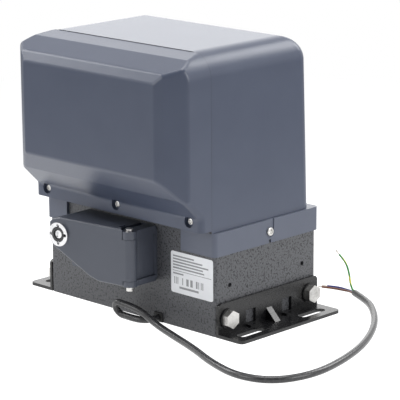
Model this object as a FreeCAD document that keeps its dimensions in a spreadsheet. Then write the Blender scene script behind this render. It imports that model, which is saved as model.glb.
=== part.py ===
"""Sliding gate motor: casing on two foot brackets, moulded hood, release lever, worm drive and pinion.

Millimetres. +Z is up from the floor, +X to the right and +Y back towards the gate. The origin is on
the floor under the middle of the casing. Every size and place follows the sheet called Sizes.
"""
import math
import os
import re

import FreeCAD
import Part
import Sketcher

V = FreeCAD.Vector
doc = FreeCAD.newDocument("sliding_gate_motor")

SIZES = [
    ("casing_w", 250.0, "casing width"),
    ("casing_d", 154.0, "casing depth"),
    ("casing_h", 108.0, "casing height"),
    ("wall", 5.0, "casing wall"),
    ("corner_r", 3.0, "casing corner radius"),
    ("web_t", 6.0, "inner web thickness"),
    ("floor_t", 4.0, "bottom plate thickness"),
    ("lid_t", 6.0, "gearbox lid thickness"),
    ("vent_y", 56.0, "side hole distance from the middle"),
    ("vent_z", 52.0, "side hole height"),
    ("vent_r", 2.5, "side hole radius"),
    ("collar_out", 2.0, "collar wall beyond the casing's sides"),
    ("collar_fore", 3.3, "collar wall beyond the casing's front and rear"),
    ("collar_w", "=casing_w+2*collar_out", "collar width"),
    ("collar_d", "=casing_d+2*collar_fore", "collar depth"),
    ("collar_z", 85.4, "collar lip height"),
    ("gap_left", -95.0, "left end of the collar's front gap"),
    ("gap_right", 78.5, "right end of the collar's front gap"),
    ("saddle_y", 3.25, "collar screw place along the side"),
    ("saddle_z", 97.5, "collar screw height"),
    ("saddle_r", 6.25, "recess radius round the collar screw"),
    ("saddle_deep", 1.0, "depth of that recess"),
    ("collar_screw_r", 4.0, "collar screw head radius"),
    ("collar_screw_t", 2.6, "collar screw head height"),
    ("ledge_z", 110.7, "collar top"),
    ("rim_w", 8.0, "width of the collar's flat top inside the casing line"),
    ("tray_t", 3.0, "tray thickness"),
    ("tray_gap", 0.5, "tray to hood wall"),
    ("shelf_z", 117.0, "tray front shelf height"),
    ("shelf_half", "=casing_w/2-9", "half width of the tray's front shelf"),
    ("tray_top", 134.0, "top of the tray's upstand"),
    ("tray_hole_r", 61.0, "tray hole round the motor flange"),
    ("shell_t", 3.0, "hood and cover wall"),
    ("hood_in", 0.7, "hood foot inside the casing line on each side"),
    ("hood_w", "=casing_w-2*hood_in", "hood width at its foot"),
    ("hood_rear", 71.2, "hood rear face at its foot"),
    ("hood_top", 296.0, "hood top"),
    ("hood_draft", 3.3, "inward lean of each hood wall over its height"),
    ("hood_round", 25.0, "hood top edge radius"),
    ("hood_corner", 12.0, "hood rear corner radius"),
    ("seam_y", -82.0, "plane where cover and hood meet"),
    ("cover_w", "=casing_w", "front cover width"),
    ("cover_foot", 114.0, "front cover lower edge"),
    ("flange_y", -97.5, "front face of the cover's screw flange"),
    ("front_y", -136.0, "front face of the cover"),
    ("front_top", 270.0, "top of the cover's upright front"),
    ("front_foot", 171.0, "foot of the cover's upright front"),
    ("facet_side", -115.0, "where the corner facet meets the side"),
    ("facet_in", 19.0, "corner facet's inner edge from the side of the cover"),
    ("facet_x", "=cover_w/2-facet_in", "where the corner facet meets the front"),
    ("screw_x", 107.0, "cover screw spacing"),
    ("screw_z", 123.5, "cover screw height"),
    ("screw_r", 2.0, "cover screw radius"),
    ("screw_head_r", 3.3, "cover screw head radius"),
    ("screw_head", 2.2, "cover screw head height"),
    ("sink_r", 6.0, "counterbore radius"),
    ("leg_t", 3.5, "bracket thickness"),
    ("leg_h", 35.3, "bracket leg height"),
    ("foot_out", 36.7, "bracket foot reach from the casing"),
    ("slot_y", 47.0, "foot slot distance from the middle"),
    ("slot_out", 22.0, "foot slot distance from the casing"),
    ("slot_l", 38.0, "foot slot length"),
    ("slot_w", 10.5, "foot slot width"),
    ("window_y", 28.0, "leg window distance from the middle"),
    ("window_w", 15.0, "leg window side"),
    ("window_z", 6.0, "leg window foot"),
    ("bolt_y", 63.4, "foot bolt distance from the middle"),
    ("bolt_z", 18.5, "foot bolt height"),
    ("bolt_r", 5.0, "foot bolt radius"),
    ("bolt_af", 17.0, "foot bolt head across flats"),
    ("bolt_head", 7.0, "foot bolt head height"),
    ("nut_af", 16.0, "foot nut across flats"),
    ("nut_t", 8.0, "foot nut thickness"),
    ("washer_t", 1.6, "foot bolt washer thickness"),
    ("washer_r", 10.5, "foot bolt washer radius"),
    ("bolt_gap", 0.5, "clearance round a foot bolt"),
    ("axis_z", 62.0, "output shaft height"),
    ("shaft_r", 12.5, "output shaft radius"),
    ("run_gap", 0.05, "running clearance of a shaft"),
    ("bearing_r", 26.0, "output bearing outer radius"),
    ("bearing_w", 15.0, "output bearing width"),
    ("boss_r", 36.0, "output boss radius"),
    ("boss_y", 22.0, "front of the output boss"),
    ("seal_r", 20.0, "shaft seal radius"),
    ("seal_w", 8.0, "shaft seal width"),
    ("shaft_front", -16.0, "front end of the output shaft"),
    ("nose_y", 84.0, "rear end of the outside boss"),
    ("wheel_half", 8.0, "half width of the worm wheel"),
    ("module_w", 2.0, "worm gear module"),
    ("wheel_teeth", 30.0, "worm wheel teeth"),
    ("worm_x", -40.0, "worm and motor axis"),
    ("worm_r", 9.2, "worm core radius"),
    ("rotor_r", 7.0, "rotor shaft radius"),
    ("pinion_teeth", 18.0, "pinion teeth"),
    ("module_p", 4.0, "pinion module"),
    ("pinion_y", 88.0, "front of the pinion"),
    ("pinion_w", 26.0, "pinion width"),
    ("key_w", 8.0, "key width"),
    ("key_z", 8.5, "foot of the key above the shaft axis"),
    ("key_h", 7.0, "key height"),
    ("hub_r", 20.0, "pinion hub radius"),
    ("tap_r", 4.0, "pinion bolt radius"),
    ("tap_y", 95.0, "bottom of the tapped hole"),
    ("end_washer_r", 18.0, "pinion washer radius"),
    ("end_washer_t", 3.0, "pinion washer thickness"),
    ("web_y", -42.0, "front of the inner web"),
    ("sleeve_y", -24.0, "front of the clutch sleeve"),
    ("rod_r", 4.0, "release rod radius"),
    ("rod_front", -98.0, "front end of the release rod"),
    ("box_left", -62.0, "left side of the release housing"),
    ("box_front", -104.0, "front edge of the release housing"),
    ("box_lo", 47.0, "foot of the release housing"),
    ("plate_right", 40.5, "right edge of the housing's plate"),
    ("plate_lo", 44.9, "foot of the housing's plate"),
    ("plate_hi", 104.4, "top of the housing's plate"),
    ("pin_r", 2.5, "hinge pin radius"),
    ("hinge_x", 35.0, "lever hinge"),
    ("hinge_y", -112.0, "lever hinge"),
    ("knuckle_r", 7.8, "lever hinge barrel radius"),
    ("knuckle_lo", 51.4, "foot of the lever barrel"),
    ("knuckle_hi", 95.8, "top of the lever barrel"),
    ("ear_gap", 0.3, "gap between the barrel and each ear"),
    ("lever_lo", 45.0, "lever lower edge"),
    ("lever_hi", 107.0, "lever upper edge"),
    ("lever_left", -70.0, "lever left end"),
    ("lever_t", 3.0, "lever wall"),
    ("lever_back", -105.0, "rear edge of the lever's side walls"),
    ("lock_x", -52.3, "lock centre"),
    ("lock_z", 88.6, "lock centre"),
    ("lock_r", 12.8, "lock bezel radius"),
    ("lock_body_r", 7.5, "lock body radius"),
    ("plug_r", 5.5, "lock plug radius"),
    ("cam_reach", 9.2, "lock cam reach"),
    ("slant", 0.121, "lever front face, depth gained for each mm to the left"),
    ("label_lo", 37.0, "label lower edge"),
    ("label_hi", 81.5, "label upper edge"),
    ("label_x", 61.0, "label left edge"),
    ("label_w", 60.5, "label width"),
    ("label_r", 2.5, "label corner radius"),
    ("label_t", 0.3, "label thickness"),
    ("cord_r", 3.65, "mains cable radius"),
    ("cord_x", 42.0, "where the cable leaves the casing"),
    ("notch_w", 12.0, "cable notch width"),
    ("notch_h", 10.0, "cable notch height"),
    ("core_r", 1.1, "cable core radius"),
    ("motor_r", 55.0, "motor housing radius"),
    ("motor_top", 236.0, "motor housing top"),
    ("flange_r", 60.0, "motor flange radius"),
    ("flange_t", 8.0, "motor flange and end shield thickness"),
    ("motor_wall", 4.0, "motor housing wall"),
    ("motor_seat_r", 16.0, "motor bearing radius"),
    ("motor_seat_w", 8.0, "motor bearing width"),
    ("foot_seat_r", 14.0, "worm bearing radius"),
    ("foot_seat_z", 6.0, "foot of the worm bearing"),
    ("cup_wall", 4.0, "wall of the cup round the worm bearing"),
    ("bore_r", 31.0, "bore of the iron stack"),
    ("air_gap", 0.6, "air gap between stack and rotor"),
    ("coil_r", 46.0, "winding outer radius"),
    ("coil_in", 34.0, "winding inner radius"),
    ("coil_h", 12.0, "winding height beyond the stack"),
    ("worm_half", 20.0, "half length of the worm"),
    ("stack_lo", 140.0, "foot of the iron stack"),
    ("stack_hi", 210.0, "top of the iron stack"),
    ("board_z", 122.0, "control board underside"),
    ("board_t", 1.6, "control board thickness"),
    ("board_left", 32.0, "control board left edge"),
    ("board_right", 114.0, "control board right edge"),
    ("board_front", -72.0, "control board front edge"),
    ("board_rear", 20.0, "control board rear edge"),
    ("post_in", 5.0, "standoff distance from the board's edges"),
    ("terminal_p", 9.0, "terminal pitch"),
    ("capacitor_r", 18.0, "run capacitor radius"),
    ("capacitor_h", 76.0, "run capacitor height"),
]

sheet = doc.addObject("Spreadsheet::Sheet", "Sizes")
for row, (alias, size, note) in enumerate(SIZES, start=1):
    sheet.set(f"A{row}", note)
    sheet.set(f"B{row}", str(size))
    sheet.setAlias(f"B{row}", alias)
doc.recompute()
ALIASES = {alias for alias, _, _ in SIZES}
ALONG = {"x": V(1, 0, 0), "y": V(0, 1, 0), "z": V(0, 0, 1)}
STAND = {"x": FreeCAD.Rotation(V(0, 1, 0), 90), "y": FreeCAD.Rotation(V(1, 0, 0), -90),
         "z": FreeCAD.Rotation()}
SHEET_PLANE = {"x": FreeCAD.Rotation(V(1, 1, 1), 120), "y": FreeCAD.Rotation(V(1, 0, 0), 90),
               "z": FreeCAD.Rotation()}
nodes = {}


def resolved(text):
    """Point each sheet name in an expression at the sheet."""
    return re.sub(r"[a-z][a-z_0-9]*", lambda m: ("Sizes." if m.group() in ALIASES else "") + m.group(),
                  str(text))


def number(text):
    """Value of an expression of sheet names."""
    return float(sheet.evalExpression(resolved(text)))


def bind(item, prop, text):
    """Tie a property to an expression of sheet names."""
    item.setExpression(prop, resolved(text))


def place(item, centre):
    """Tie an item's position to three expressions."""
    for letter, text in zip("xyz", centre):
        bind(item, "Placement.Base." + letter, text)
    return item


def box(name, x, y, z):
    """Block between two faces along each axis."""
    block = doc.addObject("Part::Box", name)
    for side, (low, high) in zip(("Length", "Width", "Height"), (x, y, z)):
        bind(block, side, f"({high})-({low})")
    return place(block, (x[0], y[0], z[0]))


def rod(name, axis, centre, radius, length):
    """Cylinder that starts at centre and runs along +axis."""
    solid = doc.addObject("Part::Cylinder", name)
    solid.Placement = FreeCAD.Placement(V(), STAND[axis])
    bind(solid, "Radius", radius)
    bind(solid, "Height", length)
    return place(solid, centre)


def hexagon(name, axis, centre, flats, length):
    """Six-sided prism that starts at centre and runs along +axis."""
    solid = doc.addObject("Part::Prism", name)
    solid.Polygon = 6
    solid.Placement = FreeCAD.Placement(V(), STAND[axis])
    bind(solid, "Circumradius", f"({flats})/2/cos(30)")
    bind(solid, "Height", length)
    return place(solid, centre)


def fuse(name, solids):
    """Union."""
    joined = doc.addObject("Part::MultiFuse", name)
    joined.Shapes = solids
    return joined


def cut(name, base, tools):
    """Base less every tool."""
    tool = tools[0] if len(tools) == 1 else fuse(name + "_tools", tools)
    remainder = doc.addObject("Part::Cut", name)
    remainder.Base = base
    remainder.Tool = tool
    return remainder


def common(name, solids):
    """Overlap of all the solids."""
    shared = doc.addObject("Part::MultiCommon", name)
    shared.Shapes = solids
    return shared


def ring(name, axis, centre, outer, inner, length):
    """Tube that starts at centre and runs along +axis."""
    return cut(name, rod(name + "_outer", axis, centre, outer, length),
               [rod(name + "_bore", axis, centre, inner, length)])


def prism(name, axis, points, start, length):
    """Closed outline of straight lines, drawn across an axis and drawn out along it."""
    sketch = doc.addObject("Sketcher::SketchObject", name + "_outline")
    sketch.Placement = FreeCAD.Placement(V(), SHEET_PLANE[axis])
    bind(sketch, "Placement.Base." + axis, start)
    spots = [V(number(a), number(b), 0) for a, b in points]
    sketch.addGeometry([Part.LineSegment(p, q) for p, q in zip(spots, spots[1:] + spots[:1])], False)
    ties = []
    for index, spot in enumerate(spots):
        ties.append(Sketcher.Constraint("Coincident", index, 2, (index + 1) % len(spots), 1))
        ties.append(Sketcher.Constraint("DistanceX", -1, 1, index, 1, spot.x))
        ties.append(Sketcher.Constraint("DistanceY", -1, 1, index, 1, spot.y))
    sketch.addConstraint(ties)
    for index, (a, b) in enumerate(points):
        bind(sketch, f"Constraints[{3 * index + 1}]", a)
        bind(sketch, f"Constraints[{3 * index + 2}]", b)
    solid = doc.addObject("Part::Extrusion", name)
    solid.Base = sketch
    solid.DirMode = "Custom"
    solid.Dir = ALONG[axis]
    solid.Solid = True
    bind(solid, "LengthFwd", length)
    return solid


def rounded(name, base, radius, chosen):
    """Fillet every edge whose middle the test accepts."""
    doc.recompute()
    solid = doc.addObject("Part::Fillet", name)
    solid.Base = base
    solid.Edges = [(index, number(radius), number(radius))
                   for index, edge in enumerate(base.Shape.Edges, start=1) if chosen(edge, middle(edge))]
    return solid


def middle(edge):
    """Point half way along an edge."""
    return edge.valueAt((edge.FirstParameter + edge.LastParameter) / 2)


def upright(edge, _):
    """True for a straight vertical edge."""
    return len(edge.Vertexes) == 2 and abs(edge.Vertexes[0].X - edge.Vertexes[1].X) < 0.01 and \
        abs(edge.Vertexes[0].Y - edge.Vertexes[1].Y) < 0.01


def mirrored(name, source):
    """Copy on the other side of the plane x = 0."""
    copy = doc.addObject("Part::Mirroring", name)
    copy.Source = source
    copy.Normal = V(1, 0, 0)
    return copy


def keep(name, solid):
    """File a solid under its node name."""
    nodes[name] = solid
    return solid


def gearbox():
    """Casing, bottom plate and lid."""
    outer = rounded("casing_outer", box("casing_block", ("-casing_w/2", "casing_w/2"),
                                        ("-casing_d/2", "casing_d/2"),
                                        (0, "casing_h")), "corner_r", upright)
    hollow = box("casing_hollow", ("-casing_w/2+wall", "casing_w/2-wall"),
                 ("-casing_d/2+wall", "casing_d/2-wall"),
                 (-1, "casing_h+1"))
    shell = cut("casing_shell", outer, [hollow])
    web = box("casing_web", ("-casing_w/2+wall-1", "casing_w/2-wall+1"), ("web_y", "web_y+web_t"),
              ("floor_t", "casing_h-lid_t"))
    boss = rod("casing_boss", "y", (0, "boss_y", "axis_z"), "boss_r", "casing_d/2-1-boss_y")
    nose = rod("casing_nose", "y", (0, "casing_d/2-1", "axis_z"), "seal_r+3", "nose_y-casing_d/2+1")
    holes = [
        rod("bearing_bore", "y", (0, "boss_y-1", "axis_z"), "bearing_r", "casing_d/2-wall-boss_y+1"),
        rod("seal_bore", "y", (0, "casing_d/2-wall-1", "axis_z"), "seal_r", "nose_y"),
        rod("rod_hole_wall", "y", (0, "-casing_d/2-1", "axis_z"), "rod_r+run_gap", "wall+2"),
        rod("rod_hole_web", "y", (0, "web_y-1", "axis_z"), "rod_r+run_gap", "web_t+2"),
        box("cable_notch", ("cord_x-notch_w/2", "cord_x+notch_w/2"), ("-casing_d/2-1", "-casing_d/2+wall+1"),
            (-1, "notch_h")),
    ]
    for side in (-1, 1):
        for end in (-1, 1):
            tag = f"{side}{end}".replace("-", "m")
            holes.append(rod("vent_" + tag, "x", (f"{side}*casing_w/2-wall-1", f"{end}*vent_y", "vent_z"),
                             "vent_r",
                             "2*wall+2"))
            holes.append(rod("bolt_hole_" + tag, "x", (f"{side}*casing_w/2-wall-1", f"{end}*bolt_y",
                                                       "bolt_z"),
                             "bolt_r+bolt_gap", "2*wall+2"))
    keep("gearbox_casing", cut("gearbox_casing", fuse("casing_solid", [shell, web, boss, nose]), holes))
    plate = box("bottom_block", ("-casing_w/2+wall", "casing_w/2-wall"),
                ("-casing_d/2+wall", "casing_d/2-wall"),
                (0, "floor_t"))
    cup = rod("bottom_cup", "z", ("worm_x", 0, "floor_t-1"), "foot_seat_r+cup_wall",
              "foot_seat_z+motor_seat_w-floor_t+1")
    channel = box("bottom_channel", ("cord_x-notch_w/2", "cord_x+notch_w/2"), ("-casing_d/2", -48),
                  (-1, "floor_t+1"))
    seat = rod("bottom_seat", "z", ("worm_x", 0, "foot_seat_z"), "foot_seat_r", "2*motor_seat_w")
    keep("bottom_plate", cut("bottom_plate", fuse("bottom_solid", [plate, cup]), [channel, seat]))
    lid = box("lid_block", ("-casing_w/2+wall", "casing_w/2-wall"), ("-casing_d/2+wall", "casing_d/2-wall"),
              ("casing_h-lid_t", "casing_h"))
    lid_hole = rod("lid_hole", "z", ("worm_x", 0, "casing_h-lid_t-1"), "motor_seat_r+cup_wall", "lid_t+2")
    keep("gearbox_lid", cut("gearbox_lid", lid, [lid_hole]))


def foot_brackets():
    """Angle on each side with slots, windows with folded tabs, a gusset and the bolts."""
    face = "casing_w/2"
    leg = box("leg", (face, face + "+leg_t"), ("-casing_d/2", "casing_d/2"), (0, "leg_h"))
    foot = box("foot", (face, face + "+foot_out"), ("-casing_d/2", "casing_d/2"), (0, "leg_t"))
    corners = rounded("bracket_corners", fuse("bracket_angle", [leg, foot]), 5,
                      lambda e, m: abs(abs(m.y) - number("casing_d/2")) > -1 and e.Length < 4
                      and (m.z > number("leg_h-1") or m.x > number(face + "+foot_out-1")))
    gusset = prism("gusset", "y", [(face + "+leg_t-1", "leg_t-1"), (face + "+leg_t+13", "leg_t-1"),
                                   (face + "+leg_t+13", "leg_t"), (face + "+leg_t", "leg_t+13"),
                                   (face + "+leg_t-1", "leg_t+13")], -4, 8)
    added = [corners, gusset]
    removed = []
    for end in (-1, 1):
        tag = "b" if end > 0 else "f"
        middle_y = f"{end}*slot_y"
        reach = "slot_l/2-slot_w/2"
        removed.append(box("slot_" + tag, (face + "+slot_out-slot_w/2", face + "+slot_out+slot_w/2"),
                           (f"{middle_y}-({reach})", f"{middle_y}+({reach})"), (-1, "leg_t+1")))
        for tip in (-1, 1):
            removed.append(rod(f"slot_{tag}{tip + 1}", "z", (face + "+slot_out",
                                                             f"{middle_y}+{tip}*({reach})", -1),
                               "slot_w/2", "leg_t+2"))
        removed.append(box("window_" + tag, (face + "-1", face + "+leg_t+1"),
                           (f"{end}*window_y-window_w/2", f"{end}*window_y+window_w/2"),
                           ("window_z", "window_z+window_w")))
        removed.append(rod("leg_hole_" + tag, "x", (face + "-1", f"{end}*bolt_y", "bolt_z"),
                           "bolt_r+bolt_gap", "leg_t+2"))
        added.append(box("tab_" + tag, (face + "+leg_t-1", face + "+leg_t+6"),
                         (f"{end}*window_y-window_w/2+1", f"{end}*window_y+window_w/2-1"),
                         ("window_z-2.5", "window_z-0.5")))
    right = keep("foot_bracket_right", cut("foot_bracket_right", fuse("bracket_solid", added), removed))
    keep("foot_bracket_left", mirrored("foot_bracket_left", right))
    heads, washers, nuts = [], [], []
    for end in (-1, 1):
        tag = "b" if end > 0 else "f"
        spot = (f"{end}*bolt_y", "bolt_z")
        head = hexagon("head_" + tag, "x", (face + "+leg_t+washer_t", *spot), "bolt_af", "bolt_head")
        shank = rod("shank_" + tag, "x", (face + "-wall-nut_t", *spot), "bolt_r",
                    "leg_t+washer_t+wall+nut_t+1")
        heads.append(fuse("bolt_" + tag, [head, shank]))
        washers.append(ring("washer_" + tag, "x", (face + "+leg_t", *spot), "washer_r", "bolt_r",
                            "washer_t"))
        nut = hexagon("nut_hex_" + tag, "x", (face + "-wall-nut_t", *spot), "nut_af", "nut_t")
        nuts.append(cut("nut_" + tag, nut, [rod("nut_bore_" + tag, "x", (face + "-wall-nut_t-1", *spot),
                                                "bolt_r", "nut_t+2")]))
    for name, right_side in (("foot_bolts", heads), ("foot_washers", washers), ("foot_nuts", nuts)):
        pair = fuse(name + "_right", right_side)
        keep(name, fuse(name, [pair, mirrored(name + "_left", pair)]))


def collar():
    """Plastic ring round the top of the casing, split at the front for the release lever."""
    outer = rounded("collar_outer", box("collar_block", ("-collar_w/2", "collar_w/2"),
                                        ("-collar_d/2", "collar_d/2"),
                                        ("collar_z", "ledge_z")), 5, upright)
    inside = box("collar_inside", ("-casing_w/2", "casing_w/2"), ("-casing_d/2", "casing_d/2"),
                 ("collar_z-1", "casing_h"))
    opening = box("collar_opening", ("-casing_w/2+rim_w", "casing_w/2-rim_w"),
                  ("-casing_d/2+rim_w", "casing_d/2-rim_w"), ("collar_z-1", "ledge_z+1"))
    gap = box("collar_gap", ("gap_left", "gap_right"), ("-collar_d/2-1", "-casing_d/2"),
              ("collar_z-1", "casing_h"))
    removed = [inside, opening, gap]
    screws = []
    for side in (-1, 1):
        tag = "r" if side > 0 else "l"
        skin = "-collar_w/2-saddle_deep" if side < 0 else "collar_w/2-saddle_deep"
        removed.append(box("saddle_" + tag, (skin, skin + "+2*saddle_deep"),
                           ("saddle_y-saddle_r", "saddle_y+saddle_r"), ("saddle_z", "ledge_z+1")))
        removed.append(rod("saddle_round_" + tag, "x", (skin, "saddle_y", "saddle_z"), "saddle_r",
                           "2*saddle_deep"))
        removed.append(box("saddle_slot_" + tag, (skin + "-1", skin + "+3"),
                           ("saddle_y-1.5", "saddle_y+1.5"),
                           ("collar_z-1", "saddle_z-saddle_r-2")))
        start = "collar_w/2-saddle_deep" if side > 0 else "-collar_w/2+saddle_deep-collar_screw_t"
        screws.append(rod("collar_screw_" + tag, "x", (start, "saddle_y", "saddle_z"), "collar_screw_r",
                          "collar_screw_t"))
    keep("collar_frame", cut("collar_frame", outer, removed))
    keep("collar_screws", fuse("collar_screws", screws))


def tray():
    """Plate under the hood with the upstand that the cover screws bite into."""
    inner = "hood_w/2-shell_t-tray_gap"
    block = box("tray_block", (f"-({inner})", inner), ("seam_y+2", "hood_rear-shell_t-tray_gap"),
                ("ledge_z", "ledge_z+tray_t"))
    plate = rounded("tray_plate", block, "hood_corner", lambda e, m: upright(e, m) and m.y > 0)
    across = ("-shelf_half", "shelf_half")
    step = box("tray_step", across, ("seam_y+2", "seam_y+5"), ("ledge_z", "shelf_z+tray_t"))
    shelf = box("tray_shelf", across, ("flange_y+6", "seam_y+5"), ("shelf_z", "shelf_z+tray_t"))
    wall = box("tray_wall", across, ("flange_y+6", "flange_y+6+tray_t"), ("shelf_z", "tray_top"))
    added = [plate, step, shelf, wall]
    removed = [rod("tray_hole", "z", ("worm_x", 0, "ledge_z-1"), "tray_hole_r", "tray_t+2")]
    for index, spot in enumerate(("-screw_x", "0", "screw_x")):
        added.append(rod(f"tray_boss{index}", "y", (spot, "flange_y+8", "screw_z"), "screw_r+3", 8))
        removed.append(rod(f"tray_bite{index}", "y", (spot, "flange_y+4", "screw_z"), "screw_r", 14))
    keep("chassis_tray", cut("chassis_tray", fuse("tray_solid", added), removed))


def drafted(name, inset):
    """Hood block with leaning walls and rounded top and rear edges, smaller all round by the inset."""
    block = doc.addObject("Part::Wedge", name + "_wedge")
    block.Placement = FreeCAD.Placement(V(), SHEET_PLANE["y"])
    half = f"hood_w/2-{inset}"
    rear = f"hood_rear-{inset}"
    for prop, text in (("Xmin", f"-({half})"), ("Xmax", half), ("X2min", f"-({half}-hood_draft)"),
                       ("X2max", f"{half}-hood_draft"), ("Ymin", "ledge_z"), ("Ymax", f"hood_top-{inset}"),
                       ("Zmin", f"-({rear})"), ("Zmax", "-seam_y"), ("Z2min", f"-({rear}-hood_draft)"),
                       ("Z2max", "-seam_y")):
        bind(block, prop, text)
    top = number(f"hood_top-{inset}")
    seam = number("seam_y")
    crowned = rounded(name + "_crown", block, f"hood_round-{inset}",
                      lambda e, m: abs(m.z - top) < 0.1 and m.y > seam + 1)
    return rounded(name, crowned, f"hood_corner-{inset}",
                   lambda e, m: m.y > number("hood_rear-hood_draft-10") and abs(m.x) > number("hood_w/2-16")
                   and m.z > number("ledge_z+1") and e.Length > 20
                   and abs(e.Vertexes[0].Z - e.Vertexes[-1].Z) > 15)


def hood():
    """Rear shell."""
    hollow = drafted("hood_inner", "shell_t")
    mouth = box("hood_mouth", ("-hood_w/2+shell_t", "hood_w/2-shell_t"), ("seam_y-1", "seam_y+1"),
                ("ledge_z-1", "ledge_z+1"))
    keep("hood", cut("hood", drafted("hood_outer", "0"), [hollow, mouth]))


def crown(name, inset, front):
    """Block whose two upper long edges carry the hood's round, so that cover and hood meet flush."""
    block = box(name + "_block", (f"-cover_w/2+{inset}", f"cover_w/2-{inset}"), (front, "seam_y+1"),
                (100, f"hood_top-{inset}"))
    top = number(f"hood_top-{inset}")
    return rounded(name, block, f"hood_round-{inset}",
                   lambda e, m: abs(m.z - top) < 0.1 and abs(m.x) > number("cover_w/2-5"))


def front_cover():
    """Moulded cover: a side outline crossed with a plan outline, rounded and hollow."""
    side = [("seam_y", "cover_foot"), ("flange_y", "cover_foot"), ("flange_y", "cover_foot+14"), (-120, 150),
            ("front_y", "front_foot"), ("front_y", "front_top"), (-130, 280), (-104, 291.5),
            ("seam_y", "hood_top-0.5")]
    plan = [("-cover_w/2", "seam_y"), ("-cover_w/2", "facet_side"), ("-facet_x", -131), ("9-facet_x", "front_y"),
            ("facet_x-9", "front_y"), ("facet_x", -131), ("cover_w/2", "facet_side"), ("cover_w/2", "seam_y")]
    solid = common("cover_solid", [prism("cover_side", "x", side, "-cover_w/2", "cover_w"),
                                   prism("cover_plan", "z", plan, 100, 220),
                                   crown("cover_crown", "0", -150)])
    outer = rounded("cover_outer", solid, 6,
                    lambda e, m: m.y < number("seam_y-2") and m.z > number("cover_foot+2"))
    deep_side = [("seam_y+1", "cover_foot-1"), ("flange_y+shell_t", "cover_foot-1"),
                 ("flange_y+shell_t", "cover_foot+15.2"), (-117.2, 151.5),
                 ("front_y+shell_t", "front_foot+1"),
                 ("front_y+shell_t", "front_top-1"), (-128.2, 277.5), (-103, 288.4),
                 ("seam_y+1", "hood_top-3.5")]
    deep_plan = [("-cover_w/2+shell_t", "seam_y+1"), ("-cover_w/2+shell_t", "facet_side+1.3"),
                 ("-facet_x+1.5", -128.4), ("10-facet_x", "front_y+shell_t"),
                 ("facet_x-10", "front_y+shell_t"),
                 ("facet_x-1.5", -128.4), ("cover_w/2-shell_t", "facet_side+1.3"),
                 ("cover_w/2-shell_t", "seam_y+1")]
    hollow = common("cover_hollow", [prism("cover_deep_side", "x", deep_side, "-cover_w/2+shell_t",
                                           "cover_w-2*shell_t"),
                                     prism("cover_deep_plan", "z", deep_plan, 100, 220),
                                     crown("cover_deep_crown", "shell_t", -140)])
    bosses, holes, screws = [], [], []
    for index, spot in enumerate(("-screw_x", "0", "screw_x")):
        bosses.append(rod(f"cover_boss{index}", "y", (spot, "flange_y+1", "screw_z"), "sink_r+2", 5))
        holes.append(rod(f"cover_sink{index}", "y", (spot, "flange_y-1", "screw_z"), "sink_r", 5))
        holes.append(rod(f"cover_hole{index}", "y", (spot, "flange_y", "screw_z"), "screw_r+0.2", 8))
        screws.append(fuse(f"cover_screw{index}", [
            rod(f"cover_head{index}", "y", (spot, "flange_y+4-screw_head", "screw_z"), "screw_head_r",
                "screw_head"),
            rod(f"cover_shank{index}", "y", (spot, "flange_y+3", "screw_z"), "screw_r", 12)]))
    shell = cut("cover_shell", outer, [hollow])
    keep("front_cover", cut("front_cover", fuse("cover_bossed", [shell, *bosses]), holes))
    keep("front_cover_screws", fuse("front_cover_screws", screws))


def release_housing():
    """Box on the casing's front wall with the ears that hold the lever, and the lock's strike."""
    wall_y = "-casing_d/2"
    back = wall_y + "-2"
    parts = [
        rounded("housing_base", box("housing_plate", ("box_left", "plate_right"), (wall_y + "-3", wall_y),
                                    ("plate_lo", "plate_hi")), 5,
                lambda e, m: e.Length < 3.5 and abs(m.y - number(wall_y) + 1.5) < 0.1 and m.x > 30),
        box("housing_top", ("box_left", 20), ("box_front", back), ("plate_hi-3.4", "plate_hi")),
        box("housing_bottom", ("box_left", 20), ("box_front", back), ("box_lo", "box_lo+3")),
        box("housing_left", ("box_left", "box_left+3"), ("box_front", back), ("box_lo", "plate_hi")),
        box("housing_right", ("plate_right-6", "plate_right-3"), ("box_front", back), ("box_lo", 100)),
    ]
    for name, low, high in (("lower", "plate_lo", "knuckle_lo-ear_gap"),
                            ("upper", "knuckle_hi+ear_gap", "plate_hi")):
        parts.append(box("ear_arm_" + name, ("hinge_x-knuckle_r", "plate_right"), ("hinge_y", back),
                         (low, high)))
        parts.append(rod("ear_" + name, "z", ("hinge_x", "hinge_y", low), "knuckle_r", f"({high})-({low})"))
    strike_z = ("lock_z-2.6", "lock_z+3.4")
    parts.append(box("strike_arm", ("box_left-3.4", "box_left-2.2"), (-119.6, -84), strike_z))
    parts.append(box("strike_lip", ("box_left-3.4", "box_left-0.2"), (-119.6, -118), strike_z))
    parts.append(box("strike_foot", ("box_left-3.4", "box_left+2"), (-86, wall_y + "-1"), strike_z))
    holes = [rod("housing_rod_hole", "y", (0, -90, "axis_z"), "rod_r+run_gap", 20),
             rod("ear_bore", "z", ("hinge_x", "hinge_y", 30), "pin_r", 90)]
    keep("release_housing", cut("release_housing", fuse("housing_solid", parts), holes))
    pin = [rod("pin_shank", "z", ("hinge_x", "hinge_y", "plate_lo-2.9"), "pin_r", "plate_hi-plate_lo+4.5"),
           rod("pin_head", "z", ("hinge_x", "hinge_y", "plate_hi"), "pin_r+1.7", 2.4),
           rod("pin_nut", "z", ("hinge_x", "hinge_y", "plate_lo-5"), "pin_r+1.4", 5)]
    keep("hinge_pin", fuse("hinge_pin", pin))


def tilted(item, out):
    """Turn a cylinder or box to stand on the lever's slanted face at the lock, out mm ahead of it."""
    item.Placement = FreeCAD.Placement(V(), FreeCAD.Rotation(V(0, 0, 1), 6.9).multiply(STAND["y"]))
    return place(item, (f"lock_x+slant*({out})", f"hinge_y-knuckle_r-slant*(hinge_x-lock_x)-({out})",
                        "lock_z"))


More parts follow.
